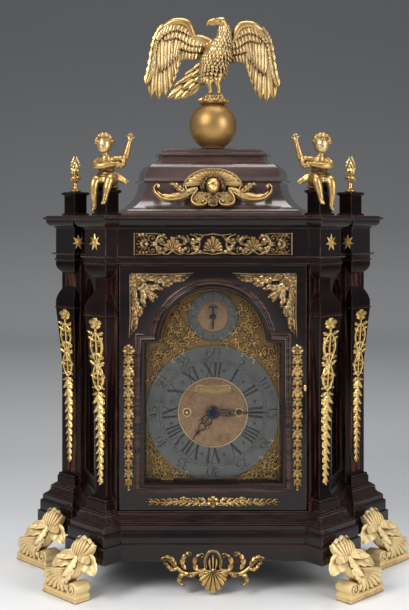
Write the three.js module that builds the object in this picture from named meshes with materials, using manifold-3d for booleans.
// Bracket clock: ebonised case with four diagonal pilasters, a bell top and gilt mounts.
// Millimetres, +Z up; the dial looks along -Y. Working plane: Y = 0 is the front of the door.
import * as THREE from 'three';
import { mergeVertices } from 'three/addons/utils/BufferGeometryUtils.js';
import Module from 'manifold-3d';

const wasm = await Module();
wasm.setup();

// ---------------------------------------------------------------- driving dimensions
const FIT = 0.3;                  // clearance between pieces that touch
const BOARD = 12;                 // thickness of the side walls and the back
const FRONT_HALF = 121.3;         // half of the front wall between the pilasters
const PILASTER_WIDTH = 42;
const FRONT_REVEAL = 19.4;        // how far a front pilaster stands out beside the door
const SIDE_REVEAL = 20.5;         // how far it stands out from the side wall
const SIDE_LENGTH = 96.1;
const SIDE_SPLAY = 19.1 * Math.PI / 180;
const REAR_REVEAL = 13.6;
const BACK_REVEAL = 25.9;

const FOOT_HEIGHT = 42.4;
const BASE_HEIGHT = 58.6;
const CASE_HEIGHT = 313;
const ENTABLATURE_HEIGHT = 62;
const BELL_STAGES = [40, 32, 10]; // cavetto, ogee and cap of the bell top
const BELL_INSETS = [22, 23, 15]; // how far each of them draws in

const DOOR_THICKNESS = 11.7;
const DOOR_GAP = 2.3;             // between the door and the pilasters
const DIAL_HALF = 87;             // half of the glazed opening
const DIAL_SILL = 35;             // bottom of the opening above the base
const ARCH_SPRING = 213.4;        // where the arch of the opening starts, above the base
const ARCH_RADIUS = 68.6;
const GLASS = 2.5;

const CHAPTER_RADIUS = 86;
const CHAPTER_INNER = 44.7;
const DIAL_CENTRE = 121.4;        // height of the dial centre above the base
const STRIKE_CENTRE = 245;        // height of the small dial in the arch
const STRIKE_RADIUS = 29;
const PENDULUM_PIVOT = 210;       // height of the verge arbor above the base
const WINDING_SPREAD = 33.5;      // half the distance between the winding squares

const BALL_RADIUS = 32;
const WING_SPAN = 182;

// Depths behind the door front, one layer after another
const FRAME_FRONT = DOOR_THICKNESS + FIT;
const FRAME_BACK = FRAME_FRONT + 8;
const DIAL_FRONT = FRAME_BACK + FIT;
const DIAL_BACK = DIAL_FRONT + 2.2;
const PLATE_FRONT = DIAL_BACK + 13.5;
const PLATE_GAP = 60;             // between the movement plates
const PLATE = 3;

// Heights
const CASE_BOTTOM = FOOT_HEIGHT + BASE_HEIGHT;
const CASE_TOP = CASE_BOTTOM + CASE_HEIGHT;
const CORNICE_TOP = CASE_TOP + ENTABLATURE_HEIGHT;
const BELL_BOTTOM = CORNICE_TOP + FIT;

// ---------------------------------------------------------------- plan of the case
const { SQRT1_2, PI } = Math;
const V2 = (x, y) => new THREE.Vector2(x, y);
const V3 = (x, y, z) => new THREE.Vector3(x, y, z);
const along = (point, direction, length) => point.clone().addScaledVector(direction, length);
const mirrored = (point) => V2(-point.x, point.y);

const OUTWARD = V2(-SQRT1_2, -SQRT1_2);   // the way a left pilaster looks
const REARWARD = V2(-SQRT1_2, SQRT1_2);   // along its face, to the back
const SIDE_WAY = V2(-Math.sin(SIDE_SPLAY), Math.cos(SIDE_SPLAY));
const doorCorner = V2(-FRONT_HALF, 0);
const frontInner = along(doorCorner, OUTWARD, FRONT_REVEAL);
const frontOuter = along(frontInner, REARWARD, PILASTER_WIDTH);
const sideStart = along(frontOuter, OUTWARD, -SIDE_REVEAL);
const sideEnd = along(sideStart, SIDE_WAY, SIDE_LENGTH);
const rearInner = along(sideEnd, OUTWARD, REAR_REVEAL);
const rearOuter = along(rearInner, REARWARD, PILASTER_WIDTH);
const backCorner = along(rearOuter, OUTWARD, -BACK_REVEAL);
const BACK = backCorner.y;
const leftPlan = [doorCorner, frontInner, frontOuter, sideStart, sideEnd, rearInner, rearOuter, backCorner];
const CASE_PLAN = [...leftPlan, ...leftPlan.map(mirrored).reverse()].reverse();
const frontPilaster = frontInner.clone().lerp(frontOuter, 0.5);
const rearPilaster = rearInner.clone().lerp(rearOuter, 0.5);

// ---------------------------------------------------------------- solids
// Turns a closed geometry into a solid, with its faces turned outwards.
function solid(geometry) {
  const bare = geometry.index ? geometry.toNonIndexed() : geometry.clone();
  for (const name of Object.keys(bare.attributes)) {
    if (name !== 'position') bare.deleteAttribute(name);
  }
  const merged = mergeVertices(bare, 1e-3);
  const position = merged.attributes.position;
  const faces = [];
  let volume = 0;
  for (let i = 0; i < merged.index.count; i += 3) {
    const [a, b, c] = [0, 1, 2].map((k) => merged.index.getX(i + k));
    if (a === b || b === c || a === c) continue;
    const [p, q, r] = [a, b, c].map((k) => V3().fromBufferAttribute(position, k));
    volume += p.dot(q.cross(r));
    faces.push(a, b, c);
  }
  if (volume < 0) faces.reverse();
  return new wasm.Manifold(new wasm.Mesh({
    numProp: 3,
    vertProperties: position.array,
    triVerts: new Uint32Array(faces),
  }));
}

function geometryOf(manifold) {
  const mesh = manifold.getMesh();
  const geometry = new THREE.BufferGeometry();
  geometry.setAttribute('position', new THREE.BufferAttribute(mesh.vertProperties, 3));
  geometry.setIndex(new THREE.BufferAttribute(mesh.triVerts, 1));
  return geometry;
}

const joined = (parts) => parts.map(solid).reduce((sum, part) => sum.add(part));
const cut = (body, tools) => tools.map(solid).reduce((rest, tool) => rest.subtract(tool), body);

// A closed skin over rings of points; both ends are capped.
function loft(rings) {
  const count = rings[0].length;
  const index = [];
  for (let r = 0; r + 1 < rings.length; r += 1) {
    for (let i = 0; i < count; i += 1) {
      const a = r * count + i;
      const b = r * count + (i + 1) % count;
      index.push(a, b, b + count, a, b + count, a + count);
    }
  }
  const cap = (ring, first, turned) => {
    const normal = V3();
    ring.forEach((p, i) => normal.add(p.clone().cross(ring[(i + 1) % count])));
    const axis = Math.abs(normal.z) > Math.abs(normal.x) && Math.abs(normal.z) > Math.abs(normal.y) ? 'z'
      : Math.abs(normal.x) > Math.abs(normal.y) ? 'x' : 'y';
    const flat = ring.map((p) => (axis === 'z' ? V2(p.x, p.y) : axis === 'x' ? V2(p.y, p.z) : V2(p.z, p.x)));
    const backwards = THREE.ShapeUtils.isClockWise(flat);
    const order = flat.map((_, i) => (backwards ? count - 1 - i : i));
    for (const face of THREE.ShapeUtils.triangulateShape(order.map((i) => flat[i]), [])) {
      const corners = face.map((i) => first + order[i]);
      index.push(...(turned !== backwards ? corners.reverse() : corners));
    }
  };
  cap(rings[0], 0, true);
  cap(rings.at(-1), (rings.length - 1) * count, false);
  const geometry = new THREE.BufferGeometry();
  geometry.setAttribute('position', new THREE.Float32BufferAttribute(
    rings.flat().flatMap((p) => [p.x, p.y, p.z]), 3));
  geometry.setIndex(index);
  return geometry;
}

// Moves every side of an anticlockwise outline outwards, with mitred corners.
function offsetPlan(points, distance) {
  const outwardOf = (a, b) => V2(b.y - a.y, a.x - b.x).normalize();
  return points.map((point, i) => {
    const before = points[(i + points.length - 1) % points.length];
    const after = points[(i + 1) % points.length];
    const mitre = outwardOf(before, point).add(outwardOf(point, after));
    return along(point, mitre, 2 * distance / mitre.lengthSq());
  });
}

const level = (points, z) => points.map((p) => V3(p.x, p.y, z));
// A moulding round a plan: each [offset, height] of the profile is a ring.
const moulding = (plan, profile) => loft(profile.map(([offset, z]) => level(offsetPlan(plan, offset), z)));

// Points of a bowed profile from one [offset, height] to another.
function bow(from, to, sag, steps = 4) {
  const [dx, dz] = [to[0] - from[0], to[1] - from[1]];
  const size = Math.hypot(dx, dz);
  return Array.from({ length: steps - 1 }, (_, i) => {
    const t = (i + 1) / steps;
    const lift = 4 * t * (1 - t) * sag / size;
    return [from[0] + dx * t + dz * lift, from[1] + dz * t - dx * lift];
  });
}

const box = (x0, x1, y0, y1, z0, z1) => new THREE.BoxGeometry(x1 - x0, y1 - y0, z1 - z0)
  .translate((x0 + x1) / 2, (y0 + y1) / 2, (z0 + z1) / 2);
// A round bar along Y, from one depth to another.
const bar = (x, z, radius, y0, y1, sides = 20) => new THREE.CylinderGeometry(radius, radius, y1 - y0, sides)
  .translate(x, (y0 + y1) / 2, z);
// An upright plate: a shape drawn in X and Z, with its thickness along Y.
const upright = (shape, y0, y1, curveSegments = 8) => new THREE.ExtrudeGeometry(shape,
  { depth: y1 - y0, bevelEnabled: false, curveSegments }).rotateX(PI / 2).translate(0, y1, 0);

// ---------------------------------------------------------------- finishes
const FINISHES = {
  ebony: { color: 0x1a1014, roughness: 0.3, metalness: 0 },
  gilt: { color: 0xc79a45, roughness: 0.35, metalness: 1 },
  brass: { color: 0xa67c3c, roughness: 0.45, metalness: 1 },
  silvered: { color: 0x8f9294, roughness: 0.5, metalness: 0.8 },
  blued: { color: 0x14161c, roughness: 0.35, metalness: 0.8 },
  steel: { color: 0x8a8d90, roughness: 0.4, metalness: 1 },
  glass: { color: 0xdfe8ea, roughness: 0.05, metalness: 0 },
};
const clock = new THREE.Group();
function piece(name, shape, finish, parent = clock) {
  const geometry = shape.isBufferGeometry ? geometryOf(solid(shape)) : geometryOf(shape);
  const mesh = new THREE.Mesh(geometry, new THREE.MeshStandardMaterial(FINISHES[finish]));
  mesh.name = name;
  parent.add(mesh);
  return mesh;
}
// A frame that stands at a point of the plan and looks diagonally outwards, left (-1) or right (1).
function diagonal(point, side) {
  const frame = new THREE.Group();
  frame.position.set(side < 0 ? point.x : -point.x, point.y, 0);
  frame.rotation.z = side * PI / 4;
  clock.add(frame);
  return frame;
}
const SIDES = [['left', -1], ['right', 1]];
const CORNERS = SIDES.flatMap(([hand, side]) => [
  { name: `front_${hand}`, at: frontPilaster, side },
  { name: `rear_${hand}`, at: rearPilaster, side },
]);

// ---------------------------------------------------------------- base
const PLINTH = 18;                // how far the foot of the base stands out
const APRON_HALF = 72;
const APRON_DROP = 24;
function plinthBase() {
  const z = (part) => FOOT_HEIGHT + BASE_HEIGHT * part;
  const shell = moulding(CASE_PLAN, [
    [PLINTH - 1, z(0)], [PLINTH, z(0.03)], [PLINTH, z(0.36)],
    [PLINTH - 2.5, z(0.36)], [PLINTH - 2.5, z(0.6)],
    [PLINTH - 3.6, z(0.63)], [PLINTH - 5, z(0.65)], [PLINTH - 5, z(0.74)],
    ...bow([PLINTH - 6, z(0.76)], [5.5, z(0.95)], -2.4, 5), [4.6, z(0.95)],
    [2.4, z(0.97)], [2.4, z(1)],
  ]);
  const front = -PLINTH;
  const steps = [[APRON_HALF, 0.1], [APRON_HALF, 0], [APRON_HALF * 0.86, 0], [APRON_HALF * 0.7, -0.35],
    [APRON_HALF * 0.45, -0.75], [APRON_HALF * 0.25, -1]];
  const edge = steps.map(([x, drop]) => V2(x, drop > 0 ? z(drop) : z(0) + drop * APRON_DROP));
  const apron = new THREE.Shape([...edge, ...edge.map(mirrored).reverse()]);
  return solid(shell).add(solid(upright(apron, front + 1, front + 12)));
}
piece('plinth_base', plinthBase(), 'ebony');

// ---------------------------------------------------------------- pilasters
const PILASTER_DEPTH = FRONT_REVEAL - FIT;
const REAR_DEPTH = REAR_REVEAL - FIT;
const SHAFT_RECESS = 10.1;
const SHOULDER = 56;              // from the shoulder of the shaft to the top of the case
const PILASTER_BOTTOM = CASE_BOTTOM + FIT;
const PILASTER_TOP = CASE_TOP - FIT;
// How far the pilaster's face stands out at each height; it narrows by as much.
const PILASTER_PROFILE = [
  [0, PILASTER_BOTTOM], [0, CASE_BOTTOM + 1.4], [-1.6, CASE_BOTTOM + 1.8], [-1.6, CASE_BOTTOM + 11],
  [-3, CASE_BOTTOM + 12], [-3, CASE_BOTTOM + 15],
  ...bow([-3, CASE_BOTTOM + 15], [-SHAFT_RECESS, CASE_BOTTOM + 21], -1.4, 3),
  [-SHAFT_RECESS, CASE_BOTTOM + 21], [0.6 - SHAFT_RECESS, CASE_BOTTOM + 112],
  ...bow([0.6 - SHAFT_RECESS, CASE_BOTTOM + 112], [-0.2, CASE_TOP - SHOULDER - 13], -0.8, 3),
  [-0.2, CASE_TOP - SHOULDER - 13], [-0.2, CASE_TOP - SHOULDER - 10.6],
  [2.2, CASE_TOP - SHOULDER - 10], [2.2, CASE_TOP - SHOULDER - 8], [0, CASE_TOP - SHOULDER - 7.4],
  [0, CASE_TOP - SHOULDER], ...bow([0, CASE_TOP - SHOULDER], [-9.7, CASE_TOP - 35.4], 1.6, 4),
  [-9.7, CASE_TOP - 35.4], [-9, CASE_TOP - 18],
  ...bow([-9, CASE_TOP - 18], [0, CASE_TOP - 7], 1.6, 3), [0, CASE_TOP - 7], [0, PILASTER_TOP],
];
// Depth of the pilaster's face behind its block at a height, for whatever is fixed on it.
function faceRecess(z) {
  const above = PILASTER_PROFILE.findIndex(([, height]) => height > z);
  if (above < 1) return 0;
  const [[d0, z0], [d1, z1]] = [PILASTER_PROFILE[above - 1], PILASTER_PROFILE[above]];
  return -(d0 + (d1 - d0) * (z - z0) / (z1 - z0));
}
function pilaster(depth) {
  const shaft = loft(PILASTER_PROFILE.map(([offset, z]) => {
    const half = PILASTER_WIDTH / 2 + offset;
    const rear = depth - Math.max(offset, 0);
    return [V3(-half, -offset, z), V3(half, -offset, z), V3(half, rear, z), V3(-half, rear, z)];
  }));
  const half = PILASTER_WIDTH / 2;
  const post = box(-half, half, depth - 2.5, depth, PILASTER_BOTTOM, PILASTER_TOP);
  return joined([shaft, post]);
}
for (const { name, at, side } of CORNERS) {
  piece(`pilaster_${name}`, pilaster(at === frontPilaster ? PILASTER_DEPTH : REAR_DEPTH), 'ebony',
    diagonal(at, side));
}

// ---------------------------------------------------------------- walls
// The glazed opening of the door: a rectangle with an arch on top, grown by a margin.
function archOutline(margin) {
  const half = DIAL_HALF + margin;
  const radius = ARCH_RADIUS + margin;
  const spring = CASE_BOTTOM + ARCH_SPRING + margin;
  const sill = CASE_BOTTOM + DIAL_SILL - margin;
  const centre = CASE_BOTTOM + ARCH_SPRING;
  const shape = new THREE.Shape();
  shape.moveTo(-half, sill);
  shape.lineTo(half, sill);
  shape.lineTo(half, spring);
  const start = Math.asin(Math.min(0.9, margin > 0 ? margin / radius : 0));
  shape.lineTo(radius * Math.cos(start), spring);
  shape.absarc(0, centre, radius, start, PI - start, false);
  shape.lineTo(-half, spring);
  shape.closePath();
  return shape;
}

function frontFrame() {
  const mitre = (y) => -FRONT_HALF - y + FIT * 2;
  const [y0, y1] = [FRAME_FRONT, FRAME_BACK];
  const plan = [V2(mitre(y0), y0), V2(-mitre(y0), y0), V2(-mitre(y1), y1), V2(mitre(y1), y1)];
  const board = loft([level(plan, PILASTER_BOTTOM), level(plan, PILASTER_TOP)]);
  return cut(solid(board), [upright(archOutline(1), y0 - 1, y1 + 1)]);
}
piece('front_frame', frontFrame(), 'ebony');

// A side wall is drawn in its own frame: x along the wall to the back, y inwards, z up.
const WINDOW = { from: 20, to: 20, sill: 30, top: 22 };
function sideArch(margin) {
  const radius = (SIDE_LENGTH - WINDOW.from - WINDOW.to) / 2;
  const middle = WINDOW.from + radius;
  const spring = CASE_TOP - WINDOW.top - radius;
  const shape = new THREE.Shape();
  shape.moveTo(middle - radius - margin, CASE_BOTTOM + WINDOW.sill - margin);
  shape.lineTo(middle + radius + margin, CASE_BOTTOM + WINDOW.sill - margin);
  shape.absarc(middle, spring, radius + margin, 0, PI, false);
  shape.closePath();
  return shape;
}
// Turns a geometry from the left wall's own frame into the plan.
function onLeftWall(geometry) {
  const turn = new THREE.Matrix4().makeBasis(V3(SIDE_WAY.x, SIDE_WAY.y, 0), V3(SIDE_WAY.y, -SIDE_WAY.x, 0),
    V3(0, 0, 1));
  return geometry.applyMatrix4(turn).translate(sideStart.x, sideStart.y, 0);
}
function sideWall() {
  const inner = along(sideStart, V2(SIDE_WAY.y, -SIDE_WAY.x), BOARD);
  const innerAt = (y) => V2(inner.x + SIDE_WAY.x * (y - inner.y) / SIDE_WAY.y, y);
  const onLine = (through, y) => V2(through.x + through.y - y, y);
  const frontY = FRAME_BACK + FIT;
  const backY = BACK - BOARD - FIT;
  const plan = [
    sideStart, onLine(V2(doorCorner.x + 2 * FIT, 0), frontY), innerAt(frontY),
    innerAt(backY), onLine(V2(sideEnd.x + 2 * FIT, sideEnd.y), backY),
    V2(sideEnd.x + 2 * FIT, sideEnd.y),
  ];
  const wall = loft([level(plan, PILASTER_BOTTOM), level(plan, PILASTER_TOP)]);
  // The sloping sill below the window, cut to the flank of the rear pilaster.
  const slope = [[0, 0], [-6, 0], [-6, 3], [-4, 4], ...bow([-4, 4], [0, 26], 2.5, 4), [0, 26], [1, 26], [1, 0]];
  const flank = Math.tan(PI / 4 - SIDE_SPLAY);
  const sill = onLeftWall(loft([(y) => FIT, (y) => SIDE_LENGTH - 2 * FIT + y * flank]
    .map((end) => slope.map(([y, z]) => V3(end(y), y, PILASTER_BOTTOM + z)))));
  const window = onLeftWall(upright(sideArch(0), -5, BOARD + 5));
  const rebate = onLeftWall(upright(sideArch(5), BOARD - 3 - GLASS, BOARD + 5));
  return cut(solid(wall).add(solid(sill)), [window, rebate]);
}
const mirrorX = (geometry) => geometry.clone().scale(-1, 1, 1);
const leftWall = geometryOf(sideWall());
const leftPane = onLeftWall(upright(sideArch(5 - FIT), BOARD - 3 - GLASS + FIT, BOARD - 3));
for (const [hand, side] of SIDES) {
  const handed = (geometry) => (side < 0 ? geometry : mirrorX(geometry));
  piece(`side_panel_${hand}`, handed(leftWall), 'ebony');
  piece(`side_glass_${hand}`, handed(leftPane), 'glass');
}

const BACK_OPENING = { half: 140, sill: 22, top: 22 };
function backFrame() {
  const innerY = BACK - BOARD;
  const edge = sideEnd.x + sideEnd.y + 2 * FIT;
  const plan = [
    V2(edge - innerY, innerY), V2(-edge + innerY, innerY),
    V2(-(edge - innerY) + 3, innerY + 3), mirrored(backCorner), backCorner,
    V2(edge - innerY - 3, innerY + 3),
  ];
  const board = loft([level(plan, PILASTER_BOTTOM), level(plan, PILASTER_TOP)]);
  const { half, sill, top } = BACK_OPENING;
  const opening = box(-half, half, innerY - 5, BACK + 5, CASE_BOTTOM + sill, CASE_TOP - top);
  const rebate = box(-half - 5, half + 5, BACK - 6, BACK + 5, CASE_BOTTOM + sill - 5, CASE_TOP - top + 5);
  return cut(solid(board), [opening, rebate]);
}
piece('back_frame', backFrame(), 'ebony');

const BACK_STILE = 28;
function backDoor() {
  const { half, sill, top } = BACK_OPENING;
  const [z0, z1] = [CASE_BOTTOM + sill - 5 + 1, CASE_TOP - top + 5 - 1];
  const edge = half + 5 - 1;
  const leaf = box(-edge, edge, BACK - 6 + FIT, BACK, z0, z1);
  const pane = (margin, y0, y1) => box(-edge + BACK_STILE - margin, edge - BACK_STILE + margin, y0, y1,
    z0 + BACK_STILE - margin, z1 - BACK_STILE + margin);
  return {
    door: cut(solid(leaf), [pane(0, BACK - 10, BACK + 5), pane(4, BACK - 10, BACK - 6 + FIT + GLASS)]),
    glass: pane(4 - FIT, BACK - 6 + FIT, BACK - 6 + GLASS),
  };
}
const back = backDoor();
piece('back_door', back.door, 'ebony');
piece('back_glass', back.glass, 'glass');

// ---------------------------------------------------------------- entablature and bell top
const CORNICE = 13;
function entablature() {
  const z = (height) => CASE_TOP + height;
  const top = ENTABLATURE_HEIGHT;
  return moulding(CASE_PLAN, [
    [1.2, z(0)], [1.2, z(2.6)], [0, z(3)], [0, z(7.6)],
    [4.2, z(9)], [4.2, z(10.4)], [0, z(10.9)], [0, z(top - 17)],
    [1.4, z(top - 16.8)], [1.4, z(top - 15)], ...bow([2, z(top - 15)], [CORNICE - 3, z(top - 6)], 2.4, 4),
    [CORNICE - 3, z(top - 6)], [CORNICE - 2, z(top - 5.4)], [CORNICE, z(top - 4.6)],
    [CORNICE, z(top - 2)], [CORNICE - 3, z(top - 2)], [CORNICE - 3, z(top)],
  ]);
}
piece('entablature', entablature(), 'ebony');

const BELL_FRONT = 14;            // front foot of the bell behind the door front
const BELL_HALF = 106;
const BELL_BACK = BACK - 8;
const BELL_BACK_HALF = 132;
const BELL_PLAN = [V2(-BELL_HALF, BELL_FRONT), V2(BELL_HALF, BELL_FRONT),
  V2(BELL_BACK_HALF, BELL_BACK), V2(-BELL_BACK_HALF, BELL_BACK)];
const BELL_PLINTH = 8;
const BELL_FILLET = 2.8;          // how far the fillet over the lowest stage stands out
const BELL_TOP = BELL_BOTTOM + BELL_PLINTH + BELL_STAGES.reduce((sum, stage) => sum + stage);
function bellTop() {
  const [cavetto, ogee, cap] = BELL_STAGES;
  const [first, second, third] = BELL_INSETS;
  const z0 = BELL_BOTTOM + BELL_PLINTH;
  const z1 = z0 + cavetto;
  const z2 = z1 + ogee;
  return moulding(BELL_PLAN, [
    [9, BELL_BOTTOM], [9, BELL_BOTTOM + 3.4], [5.5, BELL_BOTTOM + 3.8], [5.5, BELL_BOTTOM + 6], [1, z0],
    [0, z0], ...bow([0, z0], [-first - 1, z1 - 5], -6, 8), [-first - 1, z1 - 5],
    [-first + 2.2, z1 - 3.6], [-first + BELL_FILLET, z1 - 1.8], [-first + 1.6, z1], [-first - 2, z1 + 0.4],
    ...bow([-first - 2, z1 + 0.4], [-first - second * 0.45, z1 + ogee * 0.62], 3.6, 5),
    [-first - second * 0.45, z1 + ogee * 0.62],
    ...bow([-first - second * 0.45, z1 + ogee * 0.62], [-first - second - 3, z2 - 1], -3.4, 5),
    [-first - second - 3, z2 - 1], [-first - second + 1.5, z2], [-first - second + 1.5, z2 + 3],
    [-first - second - third * 0.4, z2 + 4], [-first - second - third * 0.4, z2 + cap * 0.8],
    [-first - second - third, z2 + cap * 0.8], [-first - second - third, z2 + cap],
  ]);
}
piece('bell_top', bellTop(), 'ebony');

const PEDESTAL = { width: 24, depth: 21, height: 33, setback: 8 };
const PEDESTAL_TOP = CORNICE_TOP + FIT + PEDESTAL.height;
function pedestal() {
  const { width, depth, height } = PEDESTAL;
  const plan = [V2(-width / 2, 0), V2(width / 2, 0), V2(width / 2, depth), V2(-width / 2, depth)];
  const z = CORNICE_TOP + FIT;
  return moulding(plan, [[2.4, z], [2.4, z + 2.4], [0, z + 3.6], [0, z + height - 6],
    ...bow([0, z + height - 6], [2, z + height - 4], -0.5, 3),
    [2, z + height - 4], [2.8, z + height - 3.6], [2.8, z + height - 1.2], [0.6, z + height]]);
}
for (const { name, at, side } of CORNERS) {
  piece(`pedestal_${name}`, pedestal(), 'ebony', diagonal(at, side)).position.set(0, PEDESTAL.setback, 0);
}

// ---------------------------------------------------------------- door
const DOOR_HALF = FRONT_HALF - DOOR_GAP;
const DOOR_LIFT = 0.6;            // gap above and below the door
const KNOB = { x: DOOR_HALF - 2.6, z: CASE_BOTTOM + 157, hole: 1.6 };
function frontDoor() {
  const leaf = box(-DOOR_HALF, DOOR_HALF, 0, DOOR_THICKNESS, CASE_BOTTOM + DOOR_LIFT, CASE_TOP - DOOR_LIFT);
  const mouldings = [upright(archOutline(12), -1.4, 1), upright(archOutline(9), -3, 1)];
  return cut(joined([leaf, ...mouldings]), [
    upright(archOutline(0), -5, DOOR_THICKNESS + 5),
    upright(archOutline(3.5), 5, DOOR_THICKNESS + 5),
    bar(KNOB.x, KNOB.z, KNOB.hole, -5, 8, 12),
  ]);
}
piece('front_door', frontDoor(), 'ebony');
piece('door_glass', upright(archOutline(3.5 - FIT), 5 + FIT, 5 + FIT + GLASS), 'glass');

function doorKnob() {
  const radius = KNOB.hole - FIT;
  const turned = new THREE.LatheGeometry([
    V2(0, -7.5), V2(radius, -7.5), V2(radius, FIT), V2(2.3, FIT), V2(2.3, 1.6), V2(1.5, 2.2), V2(1.5, 7),
    V2(0, 7.6)], 8).rotateX(PI);
  const grip = new THREE.SphereGeometry(1, 6, 5).scale(1.9, 2.2, 4).translate(0, -8, 0);
  return joined([turned, grip]);
}
piece('door_knob', doorKnob(), 'gilt').position.set(KNOB.x, 0, KNOB.z);

// ---------------------------------------------------------------- ornament
// Relief is drawn upright: x to the right, z up, and it stands out towards -Y from its flat back at y = 0.
// A scroll is a bar along a path; its half width and height follow from 0 to 1 along it, and its
// section is a list of [across, out] in parts of them.
const FLAT = [[-1, 0], [-1, 1], [1, 1], [1, 0]];
const KEEL = [[-1, 0], [0, 1], [1, 0]];
function scroll(path, halfWidth, height, section = KEEL) {
  const rings = path.map((point, i) => {
    const t = i / (path.length - 1);
    const before = path[Math.max(i - 1, 0)];
    const after = path[Math.min(i + 1, path.length - 1)];
    const across = V2(before.y - after.y, after.x - before.x).normalize();
    const [w, h] = [halfWidth(t), typeof height === 'number' ? height : height(t)];
    return section.map(([u, out]) => V3(point.x + across.x * u * w, -out * h, point.y + across.y * u * w));
  });
  return loft(rings);
}
const swell = (base, tip) => (t) => base + (tip - base) * Math.abs(2 * t - 1) ** 1.5;
const taper = (from, to) => (t) => from + (to - from) * t;
const leafWidth = (width) => (t) => Math.max(0.35, width * Math.sin(PI * Math.min(1, 0.12 + 0.88 * t)) ** 0.8);

// A spiral that starts at a radius and a bearing and winds in by the given turn.
function spiral(centre, radius, bearing, turn, inner = 0.3, steps = 12) {
  return Array.from({ length: steps + 1 }, (_, i) => {
    const t = i / steps;
    const r = radius * (1 - (1 - inner) * t);
    const angle = bearing + turn * t;
    return V2(centre.x + r * Math.cos(angle), centre.y + r * Math.sin(angle));
  });
}
const curve = (points, steps) => new THREE.SplineCurve(points).getSpacedPoints(steps);
const bead = (x, z, radius, flat = 0.8) => new THREE.SphereGeometry(radius, 5, 4)
  .scale(1, flat, 1).translate(x, -radius * flat * 0.35, z);
const turned = (geometry, angle, x = 0, z = 0) => geometry.rotateY(angle).translate(x, 0, z);
// A leaf that points up from the origin.
const leaf = (length, width, height) => scroll(
  Array.from({ length: 4 }, (_, i) => V2(0, length * i / 3)), leafWidth(width / 2), height, KEEL);
const flip = (geometries) => geometries.map((geometry) => mirrorX(geometry));
const both = (geometries) => [...geometries, ...flip(geometries)];

// ---------------------------------------------------------------- dial
const DIAL_MARGIN = 8;
const dialZ = CASE_BOTTOM + DIAL_CENTRE;
const strikeZ = CASE_BOTTOM + STRIKE_CENTRE;
const pivotZ = CASE_BOTTOM + PENDULUM_PIVOT;
const ring = (outer, inner, thickness, sides) => new THREE.LatheGeometry([
  V2(inner, 0), V2(outer, 0), V2(outer, thickness), V2(inner, thickness), V2(inner, 0)], sides);
const HOLES = { centre: 5.4, winding: 4.4, strike: 2.2 };
const RING_THICKNESS = 1.4;
// The curved slot in the dial centre that shows the mock bob.
function aperture() {
  const [inner, outer, spread] = [26, 34, 0.66];
  const shape = new THREE.Shape();
  shape.absarc(0, pivotZ - 88, outer, PI / 2 + spread, PI / 2 - spread, true);
  shape.absarc(0, pivotZ - 88, inner, PI / 2 - spread, PI / 2 + spread, false);
  return upright(shape, DIAL_FRONT - 5, DIAL_BACK + 5, 6);
}
// Cast ornament of the dial: a corner between ring and frame, and a wing beside the arch ring.
const DIAL_RELIEF = 1.6;
function cornerOrnament(up) {
  const [x, z] = [DIAL_HALF - 2, (up > 0 ? ARCH_SPRING - DIAL_CENTRE - 5 : DIAL_CENTRE - DIAL_SILL) - 2];
  const corner = new THREE.Shape([V2(x, z), V2(x - 44, z), V2(x - 38, z - 7), V2(x - 24, z - 12),
    V2(x - 12, z - 24), V2(x - 7, z - 38), V2(x, z - 44)]);
  return [upright(corner, -DIAL_RELIEF, 0), rosette(x - 10, z - 10, 8, 5, 5, 2.8)]
    .map((geometry) => geometry.scale(1, 1, up));
}
function archOrnament() {
  const rise = STRIKE_CENTRE - DIAL_CENTRE;
  return both([scroll(curve([V2(6, 90), V2(28, 94), V2(50, 98), V2(56, 108), V2(50, 124), V2(36, rise + 18)], 5),
    swell(5.5, 1.4), DIAL_RELIEF), scroll(spiral(V2(42, rise - 8), 8, 2.4, -5, 0.3, 4), taper(2.4, 1.2), 2.2)]);
}
function dialPlate() {
  const feet = [-1, 1].flatMap((x) => [-1, 1].map((z) => bar(x * 54, dialZ + z * 68, 3.2,
    DIAL_BACK - 1, PLATE_FRONT - FIT, 6)));
  const relief = [...archOrnament(), ...both([...cornerOrnament(1), ...cornerOrnament(-1)])]
    .map((geometry) => geometry.translate(0, DIAL_FRONT + 0.4, dialZ));
  const plate = solid(upright(archOutline(DIAL_MARGIN), DIAL_FRONT, DIAL_BACK));
  const seat = (radius, z) => new THREE.CylinderGeometry(radius + 1.5, radius + 1.5, 8, 24)
    .translate(0, DIAL_FRONT - 4, z);
  const ornament = cut(joined(relief), [seat(CHAPTER_RADIUS, dialZ), seat(STRIKE_RADIUS, strikeZ)]);
  return cut(plate.add(ornament).add(joined(feet)), [
    bar(0, dialZ, HOLES.centre, DIAL_FRONT - 5, DIAL_BACK + 5, 14),
    bar(-WINDING_SPREAD, dialZ, HOLES.winding, DIAL_FRONT - 5, DIAL_BACK + 5, 12),
    bar(WINDING_SPREAD, dialZ, HOLES.winding, DIAL_FRONT - 5, DIAL_BACK + 5, 12),
    bar(0, strikeZ, HOLES.strike, DIAL_FRONT - 5, DIAL_BACK + 5, 8),
    aperture(),
  ]);
}
piece('dial_plate', dialPlate(), 'brass');
const ringFront = DIAL_FRONT - FIT - RING_THICKNESS;
piece('chapter_ring', ring(CHAPTER_RADIUS, CHAPTER_INNER, RING_THICKNESS, 32), 'silvered')
  .position.set(0, ringFront, dialZ);
piece('strike_ring', ring(STRIKE_RADIUS, STRIKE_RADIUS * 0.7, RING_THICKNESS, 20), 'silvered')
  .position.set(0, ringFront, strikeZ);

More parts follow.
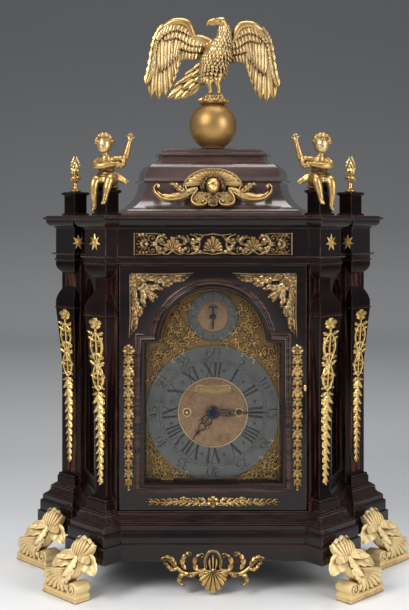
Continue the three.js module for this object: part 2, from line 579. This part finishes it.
// Hands point up along z, with their backs at y = 0.
const ARBOR = 1.6;
const CANNON = 2.8;               // pipe of the minute hand
const PIPE = CANNON + 0.4;        // bore of the hour hand's pipe, which runs on it
function hourHand() {
  const loops = both([
    scroll(spiral(V2(5.2, 18), 5, 3.6, -5, 0.35, 4), taper(1.3, 0.8), 1, FLAT),
  ]);
  const stem = scroll([V2(0, 2), V2(0, 16), V2(0, 30), V2(0, 38), V2(0, 45)],
    (t) => [1.6, 1.3, 1.3, 2.6, 0.3][Math.round(t * 4)], 1, FLAT);
  const boss = new THREE.CylinderGeometry(7.5, 7.5, 1, 14).translate(0, -0.5, 0);
  const pipe = new THREE.CylinderGeometry(PIPE + 1, PIPE + 1, PLATE_FRONT - 20, 12)
    .translate(0, (PLATE_FRONT - 20) / 2 - 0.5, 0);
  return cut(joined([stem, ...loops, boss, pipe]), [
    new THREE.CylinderGeometry(PIPE, PIPE, 90, 12)]);
}
function minuteHand() {
  const stem = scroll([V2(0, -2), V2(0, 22), V2(0, 40), V2(0, 55), V2(0, 68)],
    (t) => [1.8, 1.2, 1.2, 1.1, 0.3][Math.round(t * 4)], 1, FLAT);
  const loops = both([scroll(spiral(V2(3.6, 14), 3.6, 3.4, -5, 0.35, 4), taper(1.1, 0.7), 1, FLAT)]);
  const boss = new THREE.CylinderGeometry(5.2, 5.2, 1, 10).translate(0, -0.5, 0);
  const collet = new THREE.CylinderGeometry(3, 2.2, 1.4, 8).translate(0, -1.4, 0);
  const arbor = new THREE.CylinderGeometry(ARBOR, ARBOR, PLATE_FRONT - 14, 8)
    .translate(0, (PLATE_FRONT - 14) / 2 - 0.5, 0);
  const cannon = new THREE.CylinderGeometry(CANNON, CANNON, PLATE_FRONT - 18, 8)
    .translate(0, (PLATE_FRONT - 18) / 2 - 0.5, 0);
  return joined([stem, ...loops, boss, collet, arbor, cannon]);
}
function strikeHand() {
  const stem = scroll([V2(0, -19), V2(0, -8), V2(0, 8), V2(0, 16), V2(0, 20)],
    (t) => [1.6, 0.9, 0.9, 1.4, 0.3][Math.round(t * 4)], 1, FLAT);
  const cross = scroll([V2(-6, 12.6), V2(-4, 13.4), V2(0, 13), V2(4, 13.4), V2(6, 12.6)], swell(1.5, 0.8), 1, FLAT);
  const boss = new THREE.CylinderGeometry(4, 4, 1, 14).translate(0, -0.5, 0);
  const arbor = new THREE.CylinderGeometry(ARBOR, ARBOR, PLATE_FRONT - 16, 8)
    .translate(0, (PLATE_FRONT - 16) / 2 - 0.5, 0);
  return joined([stem, cross, boss, arbor]);
}
const HOUR_Y = 17;
const MINUTE_Y = 15;
const hourTurn = 2 * PI * 7.25 / 12;
const minuteTurn = 2 * PI * 15 / 60;
for (const [name, make, y, z, turn] of [
  ['hour_hand', hourHand, HOUR_Y, dialZ, hourTurn], ['minute_hand', minuteHand, MINUTE_Y, dialZ, minuteTurn],
  ['strike_hand', strikeHand, HOUR_Y, strikeZ, 0]]) {
  const hand = piece(name, make(), 'blued');
  hand.position.set(0, y, z);
  hand.rotation.y = turn;
}

// ---------------------------------------------------------------- movement
const MOVEMENT = { half: 62, bottom: 44, top: 224 };
const plateAt = (y0, y1) => box(-MOVEMENT.half, MOVEMENT.half, y0, y1,
  CASE_BOTTOM + MOVEMENT.bottom, CASE_BOTTOM + MOVEMENT.top);
const PLATE_BACK = PLATE_FRONT + PLATE + PLATE_GAP;
const RUNNING = 0.5;              // play of an arbor in its hole
const WINDING_ARBOR = 2.9;
const HAMMER = { x: 44, z: CASE_BOTTOM + 211, head: V2(37.2, CASE_TOP - 42), y: PLATE_BACK - 22, arbor: 2 };
const BELL = { radius: 30, wall: 2.4, y: PLATE_BACK - 22, rim: CASE_TOP - 45 };
const arborHoles = (y0, y1) => [
  bar(0, dialZ, ARBOR + RUNNING, y0, y1, 8),
  bar(0, pivotZ, ARBOR + RUNNING, y0, y1, 8),
  bar(-WINDING_SPREAD, dialZ, WINDING_ARBOR + RUNNING, y0, y1, 8),
  bar(WINDING_SPREAD, dialZ, WINDING_ARBOR + RUNNING, y0, y1, 8),
];
function frontPlate() {
  const [y0, y1] = [PLATE_FRONT, PLATE_FRONT + PLATE];
  return cut(solid(plateAt(y0, y1)), arborHoles(y0 - 5, y1 + 5));
}
function backPlate() {
  const [y0, y1] = [PLATE_BACK, PLATE_BACK + PLATE];
  const pillars = [-1, 1].flatMap((x) => [MOVEMENT.bottom + 9, MOVEMENT.top - 9].map((z) => bar(
    x * (MOVEMENT.half - 8), CASE_BOTTOM + z, 4, PLATE_FRONT + PLATE + FIT, y0 + 1, 6)));
  const top = CASE_BOTTOM + MOVEMENT.top;
  const crown = BELL.rim + BELL.radius - BELL.wall - 3 * FIT;
  const stand = [box(-4, 4, y0, y1, top - 6, top + 12), box(-4, 4, BELL.y - 4, y1, top + 8, top + 12),
    new THREE.CylinderGeometry(2.6, 2.6, crown - top - 10, 8).rotateX(PI / 2)
      .translate(0, BELL.y, (crown + top + 10) / 2)];
  return cut(joined([plateAt(y0, y1), ...pillars, ...stand]), [
    ...arborHoles(y0 - 5, y1 + 5), bar(HAMMER.x, HAMMER.z, HAMMER.arbor + RUNNING, y0 - 5, y1 + 5, 8)]);
}
piece('movement_front_plate', frontPlate(), 'brass');
piece('movement_back_plate', backPlate(), 'brass');

const TEETH = 18;
function wheel(radius, thickness) {
  const depth = 2.6;
  const outline = Array.from({ length: TEETH }, (_, i) => [[0.05, 0], [0.25, 1], [0.5, 1], [0.7, 0]]
    .map(([part, out]) => {
      const angle = 2 * PI * (i + part) / TEETH;
      const r = radius - depth * (1 - out);
      return V2(r * Math.cos(angle), r * Math.sin(angle));
    })).flat();
  return upright(new THREE.Shape(outline), 0, thickness);
}
function barrel() {
  const start = DIAL_FRONT - 3;
  const square = new THREE.CylinderGeometry(WINDING_ARBOR, WINDING_ARBOR, 10, 4).translate(0, 5, 0);
  const arbor = new THREE.CylinderGeometry(WINDING_ARBOR, WINDING_ARBOR, PLATE_BACK + PLATE - start - 8, 8)
    .translate(0, (PLATE_BACK + PLATE - start + 8) / 2, 0);
  const drum = new THREE.LatheGeometry([V2(0, 0), V2(24, 0), V2(22.6, 2.4), V2(22.6, 33),
    V2(24, 36), V2(0, 36)], 12).translate(0, PLATE_FRONT + PLATE + 8 - start, 0);
  const great = wheel(28, 2.6).translate(0, PLATE_FRONT + PLATE + 43 - start, 0);
  return joined([square, arbor, drum, great]);
}
for (const [name, x] of [['going_barrel', -WINDING_SPREAD], ['strike_barrel', WINDING_SPREAD]]) {
  piece(name, barrel(), 'brass').position.set(x, DIAL_FRONT - 3, dialZ);
}

// The verge arbor with the pendulum behind the back plate and the mock bob behind the dial.
function pendulum() {
  const front = DIAL_BACK + 2;
  const rear = PLATE_BACK + PLATE + 10;
  const drop = 58;
  const rod = 152;
  return joined([
    bar(0, 0, ARBOR, front, rear + 2, 8),
    box(-1.2, 1.2, front, front + 1.2, -drop, 2),
    new THREE.CylinderGeometry(6, 6, 1.6, 12).translate(0, front + 0.8, -drop),
    new THREE.CylinderGeometry(1.4, 1.4, rod, 6).rotateX(PI / 2).translate(0, rear, -rod / 2),
    new THREE.LatheGeometry([V2(0, -4.5), V2(8, -3.6), V2(15, -1), V2(15, 1), V2(8, 3.6), V2(0, 4.5)], 12)
      .translate(0, rear, -rod),
  ]);
}
piece('pendulum', pendulum(), 'brass').position.set(0, 0, pivotZ);

function bell() {
  const { radius, wall } = BELL;
  const arc = (r, up) => Array.from({ length: 5 }, (_, i) => {
    const angle = (up ? i : 4 - i) / 4 * PI / 2;
    return V2(Math.max(0, r * Math.cos(angle)), r * Math.sin(angle));
  });
  return new THREE.LatheGeometry([V2(radius + 1.2, -1), ...arc(radius, true), ...arc(radius - wall, false),
    V2(radius - 0.6, -1), V2(radius + 1.2, -1)], 14).rotateX(PI / 2);
}
piece('bell', bell(), 'brass').position.set(0, BELL.y, BELL.rim);

function hammer() {
  const rise = HAMMER.head.y - HAMMER.z;
  const lean = HAMMER.head.x - HAMMER.x;
  const arm = new THREE.ExtrudeGeometry(new THREE.Shape([V2(-1.5, -1.2), V2(1.5, -1.2), V2(1.5, 1.2),
    V2(-1.5, 1.2)]), { extrudePath: new THREE.LineCurve3(V3(0, HAMMER.y, 0), V3(lean, HAMMER.y, rise)),
    steps: 1 });
  const head = new THREE.CylinderGeometry(4, 4, 9, 10).rotateZ(PI / 2).translate(lean + 1.5, HAMMER.y, rise);
  return joined([bar(0, 0, HAMMER.arbor, HAMMER.y - 4, PLATE_BACK + PLATE, 8), arm, head]);
}
piece('hammer', hammer(), 'steel').position.set(HAMMER.x, 0, HAMMER.z);

function seatBoard() {
  const [half, leg, top] = [MOVEMENT.half + 14, 11, CASE_BOTTOM + MOVEMENT.bottom - FIT];
  const shape = new THREE.Shape([V2(-half, PILASTER_BOTTOM), V2(-half + leg, PILASTER_BOTTOM),
    V2(-half + leg, top - 10), V2(half - leg, top - 10), V2(half - leg, PILASTER_BOTTOM),
    V2(half, PILASTER_BOTTOM), V2(half, top), V2(-half, top)]);
  return upright(shape, PLATE_FRONT - 4, PLATE_BACK + PLATE + 4);
}
piece('seat_board', seatBoard(), 'ebony');

// ---------------------------------------------------------------- gilt mounts of the case
// A chain of husks: one keeled strip whose width swells and narrows once for each husk.
function huskChain(top, bottom, count, width, height) {
  const path = [];
  const widths = [];
  for (let i = 0; i < count; i += 1) {
    for (const [part, w] of [[0, 0.3], [0.75, 1]]) {
      path.push(V2(0, top + (bottom - top) * (i + part) / count));
      widths.push(w * width(i / count) / 2);
    }
  }
  path.push(V2(0, bottom));
  widths.push(0.6);
  return scroll(path, (t) => widths[Math.round(t * (path.length - 1))], height, KEEL);
}
// A star or rosette: a ring of points that rises to a small boss.
function rosette(x, z, radius, inner, points, height) {
  const round = (r, rIn, y) => Array.from({ length: points * 2 }, (_, i) => {
    const angle = PI / 2 + PI * i / points;
    const reach = i % 2 ? rIn : r;
    return V3(x + reach * Math.cos(angle), y, z + reach * Math.sin(angle));
  });
  return loft([round(radius, inner, 0), round(radius * 0.3, radius * 0.22, -height)]);
}
// Lets the flat back of a mount follow a face that recedes with height.
function follow(geometry, recess) {
  const position = geometry.attributes.position;
  for (let i = 0; i < position.count; i += 1) {
    position.setY(i, position.getY(i) + recess(position.getZ(i)));
  }
  return geometry;
}

const SHAFT_TOP = CASE_TOP - SHOULDER - 15;
const SHAFT_BOTTOM = CASE_BOTTOM + 33;
function pilasterMount() {
  const z = (part) => SHAFT_TOP - (SHAFT_TOP - SHAFT_BOTTOM) * part;
  const lyre = scroll(curve([V2(1, z(0.09)), V2(6, z(0.14)), V2(6.6, z(0.2)), V2(2.4, z(0.28)), V2(5, z(0.34)),
    V2(5, z(0.4)), V2(0.5, z(0.43))], 4), taper(1.7, 1.2), 2.4);
  const spine = scroll([0, 0.1, 0.19, 0.22, 0.3, 0.33, 0.4, 0.45].map((part) => V2(0, z(part))),
    (t) => [1.6, 1.4, 3.4, 1.2, 4, 1.4, 1.2, 1.2][Math.round(t * 7)], 3);
  const parts = [rosette(0, z(0.02), 7.6, 4.4, 5, 3.8), spine, ...both([lyre]),
    huskChain(z(0.44), z(1), 4, (t) => 13 - 6.5 * t, 2.8)];
  return follow(geometryOf(joined(parts)), (height) => faceRecess(height) - FIT);
}
const pilasterRelief = pilasterMount();
for (const { name, at, side } of CORNERS) {
  piece(`pilaster_mount_${name}`, pilasterRelief, 'gilt', diagonal(at, side));
}
const FRIEZE_MIDDLE = CASE_TOP + 28;
for (const [hand, side] of SIDES) {
  piece(`star_mount_${hand}`, rosette(0, FRIEZE_MIDDLE, 11.5, 5, 7, 3), 'gilt', diagonal(frontPilaster, side))
    .position.y = -FIT;
}

const FRET = { half: 101.6, height: 29, depth: 2 };
// A tear-shaped piercing that points along an angle.
function piercing(x, z, length, width, angle) {
  const points = Array.from({ length: 5 }, (_, i) => {
    const t = 2 * PI * i / 5;
    return V2(length / 2 * Math.cos(t), width / 2 * Math.sin(t) * (1 - 0.45 * Math.cos(t)))
      .rotateAround(V2(0, 0), angle).add(V2(x, z));
  });
  return new THREE.Path(points);
}
function friezeFret() {
  const [h, w] = [FRET.height / 2, FRET.half];
  const rim = Array.from({ length: 7 }, (_, i) => V2(w * (1 - i / 3), h - (i % 2 ? 2.2 : 0)));
  const plate = new THREE.Shape([...rim, ...rim.map((p) => V2(-p.x, -p.y))]);
  const half = [[91, 0, 17, 7, 1.4], [76, 6, 13, 6, 0.6], [74, -7, 12, 6, -0.5], [32, 7, 14, 6, -0.5],
    [29, -6, 13, 7, 0.5], [16, 2, 12, 5, 1.3]];
  plate.holes = half.flatMap(([x, z, length, width, angle]) => [
    piercing(x, z, length, width, angle), piercing(-x, z, length, width, PI - angle)]);
  return joined([upright(plate, -FRET.depth, 0),
    ...[-51, 0, 51].map((x) => rosette(x, 0, x ? 11 : 12.5, 7, 5, 4.6))]);
}
piece('frieze_fret', friezeFret(), 'gilt').position.set(0, -FIT, CASE_TOP + 25.8);

// The mask leans against the lowest stage and the fillet of the bell.
function maskMount() {
  const crest = Array.from({ length: 5 }, (_, i) => {
    const angle = PI * (0.08 + 0.84 * i / 4);
    const reach = 22 + 9 * Math.abs(Math.cos(angle));
    return turned(leaf(reach, 18, 3.4), PI / 2 - angle, 0, 4);
  });
  const arm = scroll(curve([V2(14, -1), V2(30, -3), V2(44, -11), V2(58, -14), V2(71, -10), V2(76, -2), V2(72, 1)],
    6), swell(4.8, 1.6), 3.4);
  const branch = scroll(curve([V2(40, -9), V2(47, -4), V2(52, 2), V2(57, 1)], 3), taper(3, 1), 3);
  const lobe = scroll(spiral(V2(13, -19), 12.6, 1.4, -5.4, 0.3, 6), taper(3, 1.6), 3.4);
  const back = new THREE.CylinderGeometry(21, 21, 1.6, 8).scale(1, 1, 0.9).translate(0, -0.8, -7);
  const face = new THREE.SphereGeometry(1, 7, 5).scale(8.6, 7, 10.5).translate(0, -3.4, 1);
  const nose = new THREE.SphereGeometry(1, 5, 4).scale(1.3, 2, 2.4).translate(0, -10.2, 0.4);
  const hair = both([bead(8.5, 5, 4.8), bead(5, 10.5, 4)]);
  const above = solid(box(-90, 90, -30, 0, -60, 60));
  return joined([...crest, ...both([arm, branch, lobe]), back, face, nose, ...hair]).intersect(above);
}
const maskLean = Math.atan2(BELL_INSETS[0] - BELL_FILLET, BELL_STAGES[0] - 1.8);
const MASK_RISE = 28;             // middle of the mask above the foot of the lowest stage
const mask = piece('mask_mount', maskMount(), 'gilt');
mask.rotation.x = -maskLean;
mask.position.set(0, BELL_FRONT + MASK_RISE * Math.tan(maskLean) - 3.5 * FIT, BELL_BOTTOM + BELL_PLINTH + MASK_RISE);

function doorSpandrel() {
  const arm = [[84, -1], [66, -11], [56, -9], [46, -19], [38, -20], [31, -31]];
  const outline = [V2(0, 0), ...arm.map(([x, z]) => V2(x, z)), ...arm.map(([x, z]) => V2(-z, -x)).reverse()];
  const plate = new THREE.Shape(outline.reverse());
  plate.holes = [piercing(39, -10, 13, 7, 0.2), piercing(10, -39, 13, 7, PI / 2 - 0.2)];
  return joined([upright(plate, -2, 0), rosette(15, -15, 12, 7.5, 6, 4.4),
    scroll([V2(46, -5), V2(62, -7), V2(80, -3)], swell(3, 1), 3.4),
    scroll([V2(5, -46), V2(7, -62), V2(3, -80)], swell(3, 1), 3.4)]);
}
const spandrel = geometryOf(doorSpandrel());
const garland = geometryOf(joined([rosette(0, 84, 7.2, 4.6, 6, 3.4), scroll([V2(0, 90), V2(0, -88)], () => 1.2, 1.6),
  huskChain(80, -92, 7, (t) => 14.6 - 6 * t, 2.8)]));
for (const [hand, side] of SIDES) {
  const handed = (geometry) => (side < 0 ? geometry : mirrorX(geometry));
  piece(`door_spandrel_${hand}`, handed(spandrel), 'gilt')
    .position.set(side * (DOOR_HALF - 10.5), -FIT, CASE_TOP - 9);
  piece(`door_garland_${hand}`, garland, 'gilt').position.set(side * (DOOR_HALF - 12), -FIT, CASE_BOTTOM + 119);
}
function doorSwag() {
  const half = [
    scroll(curve([V2(0, -3), V2(16, -3.5), V2(34, 1.5), V2(54, -1), V2(72, -1.5), V2(85, 1)], 6), swell(3.4, 1), 2.6),
    scroll(spiral(V2(24, 2.5), 5.6, 3.4, -4, 0.35, 3), taper(2.2, 1), 2.4),
    scroll(spiral(V2(48, -3), 5, 2.4, 4, 0.35, 3), taper(2, 1), 2.4),
  ];
  return joined([rosette(0, 0, 8.4, 5.4, 6, 4), ...both(half)]);
}
piece('door_swag', doorSwag(), 'gilt').position.set(0, -FIT, CASE_BOTTOM + 11.6);

function apronMount() {
  const lobes = 7;
  const fan = Array.from({ length: lobes }, (_, i) => {
    const angle = PI * (0.08 + 0.84 * i / (lobes - 1));
    return turned(leaf(19 + 11 * Math.sin(angle) ** 4, 11, 4), PI / 2 + angle, 0, -2);
  });
  const branch = (points, width) => scroll(curve(points, 3), leafWidth(width), 3.2);
  const half = [
    scroll(curve([V2(8, 0), V2(24, -6), V2(38, -4), V2(50, 8), V2(62, 14)], 5), swell(4.4, 1.6), 3.4),
    branch([V2(14, -4), V2(24, 5), V2(23, 15), V2(13, 20)], 4.4),
    branch([V2(40, 0), V2(35, 10), V2(33, 16), V2(28, 22)], 4.2),
    branch([V2(44, 2), V2(40, -10), V2(34, -14), V2(32, -19)], 3.8),
  ];
  const hood = new THREE.SphereGeometry(1, 8, 5).scale(9.5, 5, 15).translate(0, 0, 9);
  return joined([...fan, ...both(half), hood]).intersect(solid(box(-90, 90, -20, 0, -60, 60)));
}
piece('apron_mount', apronMount(), 'gilt').position.set(0, -PLINTH - FIT, FOOT_HEIGHT - 9.5);

// ---------------------------------------------------------------- feet
const FOOT = { block: 11.4, from: -45, to: 24, inner: 26, outer: 50, neck: 10 };
function foot() {
  const { block, from, to, inner, outer, neck } = FOOT;
  const middle = -(inner + outer) / 2;
  const base = loft([[0, 0], [0, block - 2], [2, block]].map(([inset, z]) => [
    V3(from + inset, -outer + inset, z), V3(to - inset, -outer + inset, z),
    V3(to - inset, -inner - inset, z), V3(from + inset, -inner - inset, z)]));
  // A bar in the plane of the face: each step gives its place, its width and its thickness.
  const body = (steps) => loft(steps.map(([x, z, w, out, thick], i) => {
    const [before, after] = [steps[Math.max(i - 1, 0)], steps[Math.min(i + 1, steps.length - 1)]];
    const way = V2(after[0] - before[0], after[1] - before[1]).normalize();
    return [[-1, 0], [-0.55, -1], [0.55, -1], [1, 0], [0.55, 1], [-0.55, 1]]
      .map(([u, v]) => V3(x - way.y * u * w / 2, middle + out + v * thick / 2, z + way.x * u * w / 2));
  }));
  const scrollBody = body([[-34, block - 1, 16, -2, 18], [-28, 20, 20, -1, 20],
    [-10, 27, 17, 1, 18], [neck - 4, 35, 12, 3, 15], [neck, 43, 11, 6, 13]]);
  const inside = FOOT_HEIGHT - FIT;
  const lug = box(neck - 9, neck + 9, -inner - 5, -PLINTH + 14, 30, inside);
  const crown = body([[neck, 38, 14, 5, 14], [neck - 2, 50, 24, 9, 12], [neck - 4, 62, 27, 11, 10],
    [neck - 5, 71, 20, 9, 9], [neck - 5, 76, 9, 1, 6]]);
  const petals = [-1, 1].map((way) => body([[neck, 44, 12, 4, 12], [neck + way * 13, 48, 19, 6, 8],
    [neck + way * 24, 50, 22, 4, 6], [neck + way * 30, 53, 15, -3, 4]]));
  const roll = new THREE.CylinderGeometry(7, 7, 20, 7).translate(to - 9, middle, block + 4);
  const caseSide = solid(box(-120, 120, -PLINTH - FIT, 60, inside, 200));
  return joined([base, scrollBody, lug, crown, ...petals, roll]).subtract(caseSide);
}
const footShape = geometryOf(foot());
for (const { name, at, side } of CORNERS) {
  piece(`foot_${name}`, side < 0 ? footShape : mirrorX(footShape), 'gilt', diagonal(at, side));
}

// ---------------------------------------------------------------- figures and finials
// A limb or body: a skin over oval sections; each step is [place, half width, half depth].
function limb(steps, sides = 8) {
  const places = steps.map(([place]) => V3(...place));
  const front = V3(0, -1, 0);
  return loft(steps.map(([, wide, deep], i) => {
    const way = places[Math.min(i + 1, steps.length - 1)].clone().sub(places[Math.max(i - 1, 0)]).normalize();
    const across = way.clone().cross(front).normalize();
    const out = across.clone().cross(way);
    return Array.from({ length: sides }, (_, k) => {
      const angle = 2 * PI * k / sides;
      return places[i].clone().addScaledVector(across, wide * Math.cos(angle))
        .addScaledVector(out, deep * Math.sin(angle));
    });
  }));
}
const egg = (x, y, z, rx, ry, rz, sides = 10) => new THREE.SphereGeometry(1, sides, Math.round(sides * 0.7))
  .scale(rx, ry, rz).translate(x, y, z);

const BALL_DEPTH = 83;            // behind the door front
const BALL_SEAT = 1.6;            // how deep the flat below the ball is cut
const ballZ = BELL_TOP + BALL_RADIUS - BALL_SEAT + FIT;
function ball() {
  const steps = 9;
  const low = Math.acos(1 - BALL_SEAT / BALL_RADIUS);
  const profile = Array.from({ length: steps + 1 }, (_, i) => {
    const angle = low + (PI - low) * i / steps;
    return V2(Math.max(0, BALL_RADIUS * Math.sin(angle)), -BALL_RADIUS * Math.cos(angle));
  });
  profile[steps].x = 0;
  return new THREE.LatheGeometry([V2(0, profile[0].y), ...profile], 18).rotateX(PI / 2);
}
piece('ball', ball(), 'gilt').position.set(0, BALL_DEPTH, ballZ);

// The eagle stands on a small mound on the ball; heights are above the top of the ball.
const SPAN = WING_SPAN / 182;
function wing(side) {
  const lift = (x) => 8 - 0.12 * Math.abs(x);           // wings sweep back from the shoulder
  const leading = [[8, 64], [18, 84], [28, 98], [46, 109], [66, 100], [80, 70], [88, 34], [93, 5]];
  const trailing = [[8, 44], [20, 48], [32, 44], [42, 50], [54, 38], [62, 22], [69, 6], [80, -3]];
  const thick = [6, 6, 5.5, 5, 4, 3, 2.4, 1.6];
  const ribs = leading.map(([x, z], i) => {
    const [tx, tz] = trailing[i];
    const at = (a, b, y) => V3(side * a * SPAN, y, b);
    const middle = [(x + tx) / 2, (z + tz) / 2];
    return [at(x, z, lift(x)), at(...middle, lift(middle[0]) - thick[i] / 2), at(tx, tz, lift(tx)),
      at(...middle, lift(middle[0]) + thick[i] / 2)];
  });
  return loft(ribs);
}
function feathers(side) {
  return [[60, 80, 84, 40], [62, 62, 86, 12]].map(([x0, z0, x1, z1]) => limb([
    [[side * x0 * SPAN, 2, z0], 3, 2.4], [[side * (x0 + x1) / 2 * SPAN, 0, (z0 + z1) / 2], 4.4, 2.2],
    [[side * x1 * SPAN, 0, z1], 1.2, 1]], 4));
}
function eagle() {
  const body = limb([[[1, 4, 26], 5, 5], [[1, 2, 34], 11, 11], [[2, 0, 50], 14.5, 14], [[7, 0, 66], 13, 12.5],
    [[15, 0, 80], 9, 9], [[19, 0, 90], 6.6, 7], [[18, 0, 100], 6.2, 6.4], [[13, -1, 108], 6.6, 6.4],
    [[6, -1, 108.5], 5.4, 5], [[1, -1, 106], 3, 3]], 6);
  const beak = limb([[[4, -1, 107], 3.6, 2.6], [[-4, -1, 105], 2.8, 2], [[-9, -1, 100], 1.4, 1.2],
    [[-9.6, -1, 95], 0.5, 0.5]], 4);
  const tail = [[-58, 0, 3], [-52, 6, 8], [-46, 13, 12]].map(([x, z, y]) => limb([[[-4, 6, 40], 6, 5],
    [[x * 0.55 + 2, y, (z + 40) / 2 - 3], 5.4, 2.4], [[x, y, z + 2], 3, 1.4]], 4));
  const legs = [[-3, 0], [13, 3]].map(([x, y]) => limb([[[x + 2, y, 36], 7, 7], [[x, y, 22], 3, 3],
    [[x, y, 2.5], 2.4, 2.4]], 4));
  const claws = [[-3, 0], [13, 3]].flatMap(([x, y]) => [-1, 0, 1].map((way) => limb([
    [[x, y, 5], 2, 2], [[x + way * 7, y - 8 + 3 * Math.abs(way), 3], 1.4, 1.2]], 3)));
  const mound = new THREE.CylinderGeometry(14, 20, 5, 8).rotateX(PI / 2).translate(3, 0, 1.8);
  const wings = [-1, 1].flatMap((side) => [wing(side), ...feathers(side)]);
  const whole = joined([body, beak, ...tail, ...legs, ...claws, mound, ...wings]);
  const seat = new THREE.SphereGeometry(BALL_RADIUS + FIT, 12, 8).rotateX(PI / 2).translate(0, 0, -BALL_RADIUS);
  return whole.subtract(solid(seat));
}
piece('eagle', eagle(), 'gilt').position.set(0, BALL_DEPTH, ballZ + BALL_RADIUS);

// A seated child, drawn as the one on the left: x towards the middle of the clock, heights above the pedestal.
function putto() {
  const torso = limb([[[-2, 0, 1.5], 9, 8], [[-2, -1, 8], 9.4, 8.4], [[-3, -1, 18], 8.4, 7],
    [[-5, -1, 30], 9.6, 7], [[-6, -1, 38], 7, 5.4], [[-7, -1, 47], 4, 4]], 6);
  const head = egg(-8, -2, 54, 10.4, 10.6, 11.6, 6);
  const curls = [[-16, 0, 57], [-11, -4, 63], [-3, -3, 62]].map(([x, y, z]) => egg(x, y, z, 5, 5, 5, 4));
  const raised = limb([[[-1, 0, 36], 4.6, 4.4], [[10, -1, 36], 3.8, 3.6], [[19, -2, 42], 3.4, 3.2],
    [[22, -3, 54], 2.8, 2.6], [[22, -4, 62], 3, 2], [[24, -4, 68], 1.4, 1.2]], 4);
  const folded = limb([[[-13, 0, 34], 4.4, 4.2], [[-15, -5, 26], 3.8, 3.6], [[-4, -10, 24], 3.2, 3],
    [[8, -11, 27], 3, 2.6]], 4);
  const held = egg(10, -10, 29, 5, 4.4, 5.4, 4);
  const leg = (steps) => limb(steps.map(([x, y, z, r]) => [[x, y, z], r, r]), 4);
  const legs = [
    leg([[-6, 0, 8, 6.6], [-12, -12, 8, 6], [-14, -17, -3, 4.8], [-14.5, -16, -20, 2.8], [-15, -20, -24, 2.2]]),
    leg([[1, 0, 8, 6.6], [-2, -16, 8, 6], [-7, -23, -3, 4.8], [-7, -20, -15, 2.8], [-7, -24, -18, 2.2]]),
  ];
  const cloth = limb([[[-8, -5, 8], 6, 5], [[2, -6, 11], 7, 5], [[12, -3, 6], 5, 3], [[20, -2, 1.4], 2.6, 1.2]], 4);
  return joined([torso, head, ...curls, raised, folded, held, ...legs, cloth]);
}
const figure = geometryOf(putto());
const outer = PEDESTAL.setback + PEDESTAL.depth / 2;
const seatAt = (point, side) => [-side * (Math.abs(point.x) - outer * SQRT1_2), point.y + outer * SQRT1_2];
for (const [hand, side] of SIDES) {
  const [x, y] = seatAt(frontPilaster, side);
  const child = piece(`putto_${hand}`, side < 0 ? figure : mirrorX(figure), 'gilt');
  child.position.set(-x, y, PEDESTAL_TOP + FIT);
}

function urn() {
  const profile = [[0, 0], [5.6, 0], [5.6, 1.6], [2.4, 3.2], [1.8, 9], [5, 15], [8.6, 18.6], [8.6, 20],
    [1.6, 24], [2, 27], [7, 33], [6.4, 40], [3.4, 45], [0, 50]];
  return new THREE.LatheGeometry(profile.map(([r, z]) => V2(r, z)), 8).rotateX(PI / 2);
}
for (const [hand, side] of SIDES) {
  const [x, y] = seatAt(rearPilaster, side);
  piece(`urn_${hand}`, urn(), 'gilt').position.set(-x, y, PEDESTAL_TOP + FIT);
}

// The origin lies on the ground under the middle of the footprint.
clock.updateMatrixWorld(true);
const extent = new THREE.Box3().setFromObject(clock, true);
clock.position.y = -(extent.min.y + extent.max.y) / 2;

export default clock;
